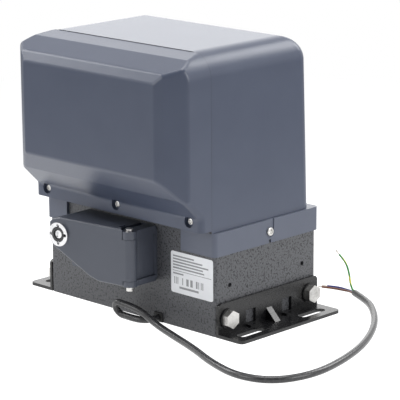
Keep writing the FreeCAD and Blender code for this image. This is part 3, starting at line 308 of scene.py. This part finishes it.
cable_skin = toned("cable_skin", (0.032, 0.032, 0.034), (0.048, 0.048, 0.050), 0.004, 0.26, depth=0.00005)
mains_cable = flex("mains_flex", CABLE_ROUTE, CABLE_RADIUS, cable_skin)
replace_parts(mains_cable, "mains_cable")

# Cable cores. Three insulated cores come out of the stripped end, brown and blue along the floor and
# green/yellow standing up in a bow. Each ends in a few millimetres of bare tinned strands.
CORE_RADIUS = 0.0011
STRIPE_SCALE = 42.0
STRIPE_EDGE = (0.55, 0.75)
STRAND_RADIUS = 0.00016
STRAND_COUNT = 7
STRAND_SIDES = 8
STRAND_FOOT, STRAND_TIP = 2.1, 3.4
CORES = {  # two colours, end of the strands, and route
    "core_brown": ((0.150, 0.052, 0.026), (0.190, 0.068, 0.034), (0.082, 0.1325, 0.00115), [
        (0.13248, 0.13341, 0.00296), (0.12436, 0.13727, 0.00296), (0.114, 0.1398, 0.0015),
        (0.1025, 0.1394, 0.00115), (0.0915, 0.1366, 0.00115), (0.0857, 0.1341, 0.00115)]),
    "core_blue": ((0.030, 0.036, 0.180), (0.042, 0.050, 0.240), (0.082, 0.138, 0.00115), [
        (0.13352, 0.13559, 0.00296), (0.12449, 0.13988, 0.00296), (0.1145, 0.1442, 0.00135),
        (0.104, 0.1459, 0.00115), (0.0945, 0.1441, 0.00115), (0.0878, 0.1409, 0.00115)]),
    "core_green_yellow": ((0.055, 0.280, 0.070), (0.620, 0.600, 0.080), (0.0993, 0.1416, 0.0445), [
        (0.133, 0.1345, 0.00506), (0.12758, 0.13707, 0.00506), (0.1230, 0.1386, 0.012),
        (0.1208, 0.1395, 0.021), (0.1165, 0.1405, 0.0305), (0.1105, 0.1411, 0.0365),
        (0.1045, 0.1414, 0.0403)]),
}
strand_tin = toned("tinned_strands", (0.55, 0.50, 0.44), (0.72, 0.68, 0.62), 0.001, 0.3, 1.0)


def closed_lathe(rows, steps, relief):
    """Vertices and faces of a surface of revolution about +Z.

    rows are (radius, height) pairs from pole to pole, and steps is the count of angles. relief(x, y)
    is taken off the height of every row marked by a third value of 1.
    """
    rows = np.array(rows, float)
    angles = np.arange(steps) * 2.0 * math.pi / steps
    ring_x = rows[1:-1, :1] * np.cos(angles)
    ring_y = rows[1:-1, :1] * np.sin(angles)
    ring_z = rows[1:-1, 1:2] - rows[1:-1, 2:3] * relief(ring_x, ring_y)
    poles = np.array([[0.0, 0.0, rows[0, 1] - rows[0, 2] * relief(0.0, 0.0)], [0.0, 0.0, rows[-1, 1]]])
    vertices = np.vstack([poles, np.stack([ring_x, ring_y, ring_z], axis=-1).reshape(-1, 3)])
    count = len(rows) - 2
    index = 2 + np.arange(count * steps).reshape(count, steps)
    after = np.roll(index, -1, axis=1)
    sides = np.stack([index[:-1], index[1:], after[1:], after[:-1]], axis=-1).reshape(-1, 4)
    top = np.stack([np.zeros(steps, int), index[0], after[0]], axis=-1)
    base = np.stack([np.ones(steps, int), after[-1], index[-1]], axis=-1)
    return vertices, [*sides.tolist(), *top.tolist(), *base.tolist()]


def smooth(x, y):
    """Relief of a plain turning: none."""
    return 0.0 * x


def turned_piece(name, turnings, finish):
    """One mesh piece on the body, made of turnings, each a (vertices, faces, place, facing) set.

    A turning lies about +Z. It is turned so that +Z points along facing, and moved to place.
    """
    all_vertices, all_faces, start = [], [], 0
    for vertices, faces, place, facing in turnings:
        turn = np.array(Vector(facing).to_track_quat("Z", "Y").to_matrix())
        all_vertices.append(vertices @ turn.T + np.array(place))
        all_faces += [[corner + start for corner in face] for face in faces]
        start += len(vertices)
    mesh = bpy.data.meshes.new(name)
    mesh.from_pydata(np.vstack(all_vertices).tolist(), [], all_faces)
    mesh.materials.append(finish)
    piece = bpy.data.objects.new(name, mesh)
    scene.collection.objects.link(piece)
    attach(piece, "body")
    return piece


def bare_strands(name, start, end):
    """Round strands from start to end, one in the middle and the others about it.

    The outer strands stand STRAND_FOOT radii off the middle at start and STRAND_TIP radii at end.
    """
    along = Vector(end) - Vector(start)
    turn = along.to_track_quat("Z", "Y")
    turnings = []
    for index in range(STRAND_COUNT):
        lean = 2.0 * math.pi * index / (STRAND_COUNT - 1)
        offset = 0.0 if index == STRAND_COUNT - 1 else STRAND_RADIUS
        away = turn @ Vector((math.cos(lean), math.sin(lean), 0.0)) * offset
        foot, tip = Vector(start) + STRAND_FOOT * away, Vector(end) + STRAND_TIP * away
        reach = (tip - foot).length
        rows = [(0.0, reach, 0.0), (STRAND_RADIUS, reach, 0.0), (STRAND_RADIUS, 0.0, 0.0), (0.0, 0.0, 0.0)]
        turnings.append((*closed_lathe(rows, STRAND_SIDES, smooth), foot, tip - foot))
    return turned_piece(name, turnings, strand_tin)


def striped(name, ground, band):
    """Insulation of two colours in diagonal bands."""
    finish, nodes, links, shader = new_finish(name, 0.36)
    wave = nodes.new("ShaderNodeTexWave")
    wave.bands_direction = "DIAGONAL"
    wave.inputs["Scale"].default_value = STRIPE_SCALE
    links.new(object_place(nodes), wave.inputs["Vector"])
    links.new(blended(nodes, links, remapped(nodes, links, wave.outputs["Fac"], 0.0, 1.0, *STRIPE_EDGE),
                      ground, band), shader.inputs["Base Color"])
    return finish


for core_name, (first_colour, second_colour, strand_end, route) in CORES.items():
    if core_name == "core_green_yellow":
        insulation = striped(core_name + "_skin", first_colour, second_colour)
    else:
        insulation = toned(core_name + "_skin", first_colour, second_colour, 0.003, 0.38)
    core = flex(core_name + "_flex", route, CORE_RADIUS, insulation)
    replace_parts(core, core_name)
    strands = bare_strands(core_name + "_strands", route[-1], strand_end)

# Casing and lid. A die-cast box in dark hammered powder coat: the surface is mid grey with a close
# pattern of small dark pits and a few light flecks. The lid and the motor's shell are bare castings.
PIT_SIZE, PIT_DEPTH = 0.0022, 0.0005
FLECK_SIZE = 0.0010
hammer, nodes, links, shader = new_finish("hammered_coat", 0.42)
pits = grain(nodes, links, PIT_SIZE, 2.0)
flecks = grain(nodes, links, FLECK_SIZE, 1.0)
coat_tone = blended(nodes, links, remapped(nodes, links, pits, 0.0, 1.0, 0.36, 0.48),
                    (0.010, 0.011, 0.013), (0.084, 0.086, 0.094))
links.new(blended(nodes, links, remapped(nodes, links, flecks, 0.0, 1.0, 0.60, 0.80), coat_tone,
                  (0.200, 0.203, 0.215)), shader.inputs["Base Color"])
dented(nodes, links, shader, pits, PIT_DEPTH, 0.8)
dress(hammer, "gearbox_casing", "bottom_plate")
cast_metal = toned("cast_metal", (0.38, 0.38, 0.39), (0.52, 0.52, 0.53), 0.002, 0.5, 0.9, 0.0002)
dress(cast_metal, "gearbox_lid", "motor_flange", "motor_housing", "motor_end_shield")

# Foot brackets and plated steel. The brackets are folded steel angles in satin black paint, and zinc
# plated M10 bolts hold them to the casing's lower sides over black washers.
bracket_paint = toned("bracket_paint", (0.005, 0.005, 0.006), (0.010, 0.010, 0.011), 0.004, 0.26,
                      depth=0.00004)
dress(bracket_paint, "foot_bracket_right", "foot_bracket_left", "foot_washers")
zinc = toned("zinc_plate", (0.56, 0.55, 0.53), (0.74, 0.73, 0.71), 0.003, 0.34, 1.0)
dress(zinc, "foot_bolts", "foot_nuts", "hinge_pin", "lock_cam", "pinion_washer", "pinion_bolt")

# Mouldings. Collar, hood, cover, release housing and lever are blue-grey ABS with a fine spark-eroded
# texture from the mould and a soft gloss. The hood and cover meet at a thin dark line of painted shade.
SEAM_SHADE_HALF = 0.0003
DRIFT_SIZE = 0.035
PEBBLE_SIZE, PEBBLE_DEPTH = 0.0007, 0.00012


def between(nodes, links, value, low, high):
    """1 where a value lies between low and high; low and high may be numbers or sockets."""
    above = combined(nodes, links, "GREATER_THAN", value, low)
    below = combined(nodes, links, "LESS_THAN", value, high)
    return combined(nodes, links, "MULTIPLY", above, below)


def moulding(name, dark, light, roughness, seam=None):
    """Moulded plastic: slow drift of tone, and a fine pebble texture from the mould.

    A seam is the Y at which two mouldings meet; both are darkened there in a thin band of painted shade.
    """
    finish, nodes, links, shader = new_finish(name, roughness)
    drift = grain(nodes, links, DRIFT_SIZE, 2.0)
    tone = blended(nodes, links, remapped(nodes, links, drift, 0.0, 1.0), dark, light)
    if seam is not None:
        axes = nodes.new("ShaderNodeSeparateXYZ")
        links.new(object_place(nodes), axes.inputs[0])
        # Painted shade: a thin band either side of the seam is darkened like the shade in a narrow slit.
        seam_painted_shade = between(nodes, links, axes.outputs["Y"], seam - SEAM_SHADE_HALF, seam + SEAM_SHADE_HALF)
        tone = blended(nodes, links, seam_painted_shade, tone, (0.020, 0.022, 0.028))
    links.new(tone, shader.inputs["Base Color"])
    pebble = grain(nodes, links, PEBBLE_SIZE, 2.0)
    links.new(remapped(nodes, links, pebble, roughness * 0.92, roughness * 1.08), shader.inputs["Roughness"])
    dented(nodes, links, shader, pebble, PEBBLE_DEPTH, 0.5)
    return finish


hood_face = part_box("hood")[0].y
hood_plastic = moulding("hood_moulding", (0.062, 0.074, 0.112), (0.067, 0.080, 0.119), 0.30, hood_face)
collar_plastic = moulding("collar_moulding", (0.090, 0.103, 0.142), (0.097, 0.110, 0.150), 0.32)
lever_plastic = moulding("lever_moulding", (0.066, 0.074, 0.097), (0.071, 0.079, 0.103), 0.30)
dress(hood_plastic, "hood", "front_cover")
dress(collar_plastic, "collar_frame")
dress(lever_plastic, "release_housing", "release_lever")


# Moulding screws. Zinc plated pan heads with a cross recess. Three are sunk in the cover's wells and
# one is seated in the shallow recess in each side of the collar.
SCREW_STEPS, DOME_ROWS = 72, 22


def cross_screws(name, node, head, radius, shank_radius, shank, places, outward):
    """Cross-recessed pan-head screws that stand in for a node, one at each place, facing outward.

    The head's top is a paraboloid that would fall by dome_fall of the head's height at full radius and
    ends at dome_share of it. The recess is taken off that, and a rim, a flat seat and a shank follow.
    """
    dome_fall, dome_share, rim_height = 0.30, 0.94, 0.55
    first_turn, next_turn = 0.5, 0.7
    arm, reach, sunk = 0.26 * radius, 0.62 * radius, 0.55 * head

    def recess(x, y):
        """Depth of a cross: the larger of two arms, each exp of minus a high power of the distance."""
        along = np.exp(-(np.abs(y) / arm) ** 4) * np.exp(-(np.abs(x) / reach) ** 8)
        across = np.exp(-(np.abs(x) / arm) ** 4) * np.exp(-(np.abs(y) / reach) ** 8)
        return sunk * np.maximum(along, across)

    dome = [(radius * share, head * (1.0 - dome_fall * share * share), 1.0)
            for share in np.linspace(0.0, dome_share, DOME_ROWS)]
    rows = dome + [(radius, head * rim_height, 0.0), (radius, 0.0, 0.0), (shank_radius, 0.0, 0.0),
                   (shank_radius, -shank, 0.0), (0.0, -shank, 0.0)]
    vertices, faces = closed_lathe(rows, SCREW_STEPS, recess)
    turnings = []
    for index, (place, facing) in enumerate(zip(places, outward)):
        driven = np.array(Matrix.Rotation(first_turn + next_turn * index, 3, "Z"))
        turnings.append((vertices @ driven.T, faces, place, facing))
    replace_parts(turned_piece(name, turnings, zinc), node)


COVER_HEAD, COVER_HEAD_RADIUS, COVER_SHANK_RADIUS = 0.0022, 0.0033, 0.002
well_low, well_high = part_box("front_cover_screws")
cover_spots = [(x, well_low.y + COVER_HEAD, (well_low.z + well_high.z) / 2)
               for x in (well_low.x + COVER_HEAD_RADIUS, 0.0, well_high.x - COVER_HEAD_RADIUS)]
cross_screws("cover_pan_screws", "front_cover_screws", COVER_HEAD, COVER_HEAD_RADIUS, COVER_SHANK_RADIUS,
             well_high.y - well_low.y - COVER_HEAD, cover_spots, [(0.0, -1.0, 0.0)] * 3)
COLLAR_HEAD, COLLAR_HEAD_RADIUS, COLLAR_SHANK_RADIUS = 0.0030, 0.0045, 0.002
COLLAR_SEAT, COLLAR_SHANK = 0.0026, 0.004
saddle_low, saddle_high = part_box("collar_screws")
collar_spots = [(x, (saddle_low.y + saddle_high.y) / 2, (saddle_low.z + saddle_high.z) / 2)
                for x in (saddle_low.x + COLLAR_SEAT, saddle_high.x - COLLAR_SEAT)]
cross_screws("collar_pan_screws", "collar_screws", COLLAR_HEAD, COLLAR_HEAD_RADIUS, COLLAR_SHANK_RADIUS,
             COLLAR_SHANK, collar_spots, [(-1.0, 0.0, 0.0), (1.0, 0.0, 0.0)])

# Lock. A chromed bezel and key plug set in the lever's face, with a dark ring of painted shade between
# the bright rim and the bright middle of the plug, where the recess between them lies.
# Radii in metres of the painted shade rings on the bezel and on the plug.
BEZEL_SHADE_RING = (0.0045, 0.0084)
PLUG_SHADE_RING = (0.0042, 0.0070)


def chrome_with_shade_ring(name, centre_x, centre_z, inner, outer):
    """Chrome with a dark ring of painted shade from the inner to the outer radius about an axis along Y."""
    finish, nodes, links, shader = new_finish(name, 0.22)
    flat = nodes.new("ShaderNodeVectorMath")
    flat.operation = "MULTIPLY"
    flat.inputs[1].default_value = (1.0, 0.0, 1.0)
    links.new(object_place(nodes), flat.inputs[0])
    away = nodes.new("ShaderNodeVectorMath")
    away.operation = "DISTANCE"
    away.inputs[1].default_value = (centre_x, 0.0, centre_z)
    links.new(flat.outputs[0], away.inputs[0])
    # Painted shade: the ring is dark and not metal, standing for the shade in the recess round the plug.
    shade_ring = between(nodes, links, away.outputs["Value"], inner, outer)
    brushed = grain(nodes, links, 0.004, 3.0)
    bright = blended(nodes, links, remapped(nodes, links, brushed, 0.0, 1.0),
                     (0.70, 0.70, 0.71), (0.86, 0.86, 0.87))
    links.new(blended(nodes, links, shade_ring, bright, (0.030, 0.031, 0.034)), shader.inputs["Base Color"])
    links.new(remapped(nodes, links, shade_ring, 1.0, 0.0, 0.0, 1.0), shader.inputs["Metallic"])
    return finish


bezel_low, bezel_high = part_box("lock_bezel")
lock_x, lock_z = (bezel_low.x + bezel_high.x) / 2, (bezel_low.z + bezel_high.z) / 2
dress(chrome_with_shade_ring("bezel_chrome", lock_x, lock_z, *BEZEL_SHADE_RING), "lock_bezel")
dress(chrome_with_shade_ring("plug_chrome", lock_x, lock_z, *PLUG_SHADE_RING), "lock_plug")

# Drive train. Turned and ground steel shafts in ball bearings, a cast bronze worm wheel, and the
# motor's stamped iron cores with copper windings.
ground_steel = toned("ground_steel", (0.46, 0.46, 0.47), (0.60, 0.60, 0.61), 0.0015, 0.30, 1.0, 0.00002,
                     (1.0, 1.0, 8.0))
dress(ground_steel, "release_rod", "clutch_sleeve", "output_shaft", "output_pinion", "pinion_key",
      "output_bearing_inner", "output_bearing_outer", "motor_bearing_lower", "motor_bearing_upper",
      "worm_bearing", "rotor_shaft")
bronze = toned("wheel_bronze", (0.50, 0.33, 0.14), (0.62, 0.42, 0.19), 0.002, 0.34, 1.0, 0.00003)
dress(bronze, "worm_wheel")
laminations = toned("iron_laminations", (0.20, 0.20, 0.21), (0.34, 0.34, 0.35), 0.0006, 0.45, 0.8, 0.0001,
                    (0.05, 0.05, 1.0))
dress(laminations, "stator_core", "rotor_core", "transformer")
copper = toned("winding_copper", (0.55, 0.20, 0.09), (0.72, 0.30, 0.14), 0.0011, 0.32, 1.0, 0.0003,
               (0.3, 0.3, 1.0))
dress(copper, "stator_windings")

# Seals. Moulded black nitrile rubber. One ring is pressed in round the output shaft, and the cable's
# grommet sits in the notch of the front wall.
rubber = toned("nitrile", (0.012, 0.012, 0.012), (0.020, 0.020, 0.020), 0.002, 0.6, depth=0.00008)
dress(rubber, "shaft_seal", "cable_grommet")

# Electrics. A tray of grey plastic under the hood carries the control board on standoffs, and round it
# stand the relays, the terminals and the motor's run capacitor. The clamp holds the cable inside.
part_grey = toned("component_shell", (0.075, 0.078, 0.085), (0.095, 0.098, 0.105), 0.004, 0.45, depth=0.00006)
dress(part_grey, "chassis_tray", "board_standoffs", "relays", "run_capacitor", "cable_clamp")
board_green = toned("board_laminate", (0.015, 0.110, 0.040), (0.025, 0.170, 0.060), 0.003, 0.30)
dress(board_green, "control_board")
terminal_green = toned("terminal_shell", (0.030, 0.260, 0.090), (0.040, 0.310, 0.110), 0.004, 0.42)
dress(terminal_green, "terminal_block")

# Rating label. White polyester with rounded corners, carrying plain rules and bars and no words. The
# marks are shares of the sheet's height, from the top, and of its width, from the left.
LINE_COUNT = 14.0
LINES_DOWN = (0.071, 0.429)
LINE_START, LINE_SHORTEST, LINE_LONGEST = 0.05, 0.55, 0.92
PLAIN_MARKS = ((0.455, 0.470, 0.04, 0.96), (0.51, 0.545, 0.05, 0.30), (0.83, 0.88, 0.20, 0.66))
BAR_COUNT = 52.0
BARS_DOWN, BARS_ACROSS = (0.61, 0.78), (0.06, 0.80)
INK_SHARE = 0.72
label_low, label_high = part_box("rating_label")
label_film, nodes, links, shader = new_finish("label_film", 0.28)
sheet_axes = nodes.new("ShaderNodeSeparateXYZ")
links.new(object_place(nodes), sheet_axes.inputs[0])
across = remapped(nodes, links, sheet_axes.outputs["X"], 0.0, 1.0, label_low.x, label_high.x)
down = remapped(nodes, links, sheet_axes.outputs["Z"], 0.0, 1.0, label_high.z, label_low.z)


def random_step(value, count, seed):
    """Random number from 0 to 1 that changes at each of the steps into which 0 to 1 is cut."""
    step = combined(nodes, links, "FLOOR", combined(nodes, links, "MULTIPLY", value, count), 0.0)
    chance = nodes.new("ShaderNodeTexWhiteNoise")
    chance.noise_dimensions = "1D"
    links.new(combined(nodes, links, "ADD", step, seed), chance.inputs["W"])
    return chance.outputs["Value"]


def block(top, bottom, left, right):
    """1 inside a rectangle of the sheet."""
    return combined(nodes, links, "MULTIPLY", between(nodes, links, down, top, bottom),
                    between(nodes, links, across, left, right))


line_phase = combined(nodes, links, "FRACT", combined(nodes, links, "MULTIPLY", down, LINE_COUNT), 0.0)
line_end = remapped(nodes, links, random_step(down, LINE_COUNT, 3.0), LINE_SHORTEST, LINE_LONGEST, 0.0, 1.0)
print_mark = combined(nodes, links, "MULTIPLY", between(nodes, links, line_phase, 0.25, 0.75),
                      block(*LINES_DOWN, LINE_START, line_end))
bars = combined(nodes, links, "MULTIPLY",
                combined(nodes, links, "GREATER_THAN", random_step(across, BAR_COUNT, 11.0), 0.5),
                block(*BARS_DOWN, *BARS_ACROSS))
for mark in (bars, *(block(*edges) for edges in PLAIN_MARKS)):
    print_mark = combined(nodes, links, "MAXIMUM", print_mark, mark)
film_tone = blended(nodes, links, remapped(nodes, links, grain(nodes, links, 0.01), 0.0, 1.0),
                    (0.84, 0.85, 0.87), (0.88, 0.89, 0.91))
ink_share = combined(nodes, links, "MULTIPLY", print_mark, INK_SHARE)
links.new(blended(nodes, links, ink_share, film_tone, (0.06, 0.06, 0.065)), shader.inputs["Base Color"])
dress(label_film, "rating_label")
